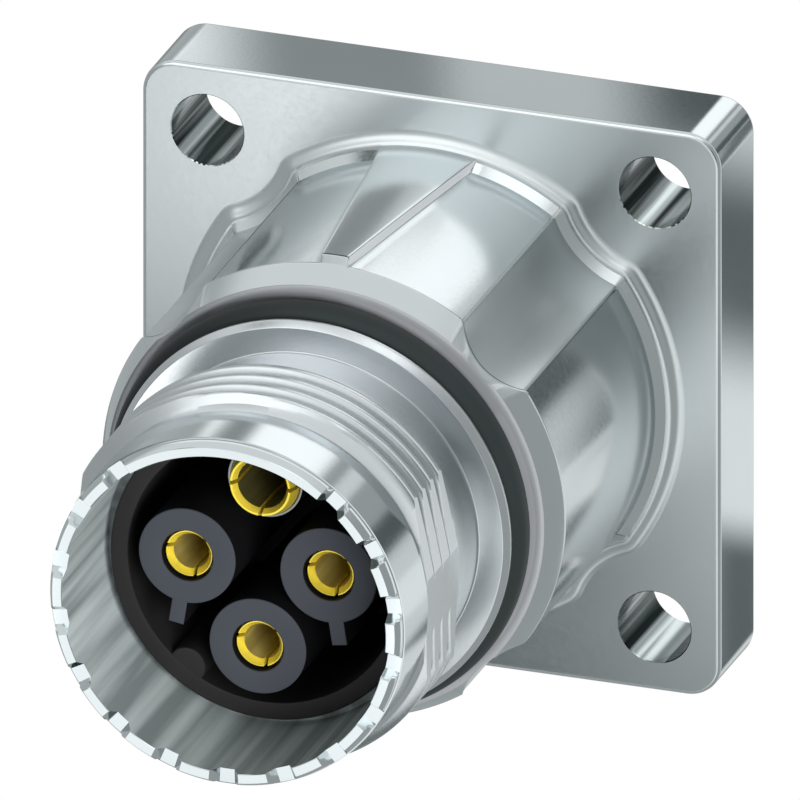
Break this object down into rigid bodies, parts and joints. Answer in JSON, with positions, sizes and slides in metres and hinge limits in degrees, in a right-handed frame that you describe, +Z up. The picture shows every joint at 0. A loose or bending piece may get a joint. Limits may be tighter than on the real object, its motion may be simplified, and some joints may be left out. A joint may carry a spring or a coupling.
{
  "type": "circular connector",
  "caption": "Square-flange circular power connector, panel receptacle: M17 thread with two plain gaps, notched nose, three sleeved sockets and one earth socket.",
  "frame": {"origin": "centre of the flange's rear face, on the connector's axis", "axes": "-Y along the axis out of the nose, +Z up towards the arrow pad and the earth contact, +X to the right seen from the front"},
  "size_m": [0.0256, 0.0374, 0.0256],
  "materials": {
    "plated_metal": "satin nickel plate",
    "seal_rubber": "smooth",
    "insulator_black": "matte",
    "sleeve_grey": "matte",
    "gold": "gold plate",
    "hood_steel": "bright",
    "spring_bronze": "bare"
  },
  "bodies": {
    "root": {"housing": "plated_metal", "front_o_ring": "seal_rubber", "insert_cup": "insulator_black", "insert_seal": "seal_rubber", "sleeve_left": "sleeve_grey", "sleeve_right": "sleeve_grey", "sleeve_lower": "sleeve_grey", "contact_left": "gold", "contact_right": "gold", "contact_lower": "gold", "contact_earth": "gold", "hood_left": "hood_steel", "hood_right": "hood_steel", "hood_lower": "hood_steel", "hood_earth": "hood_steel", "rear_insulator": "insulator_black", "earth_spring": "spring_bronze", "curved_washer": "hood_steel", "retaining_ring": "hood_steel", "flange_seal": "seal_rubber"}
  },
  "joints": []
}
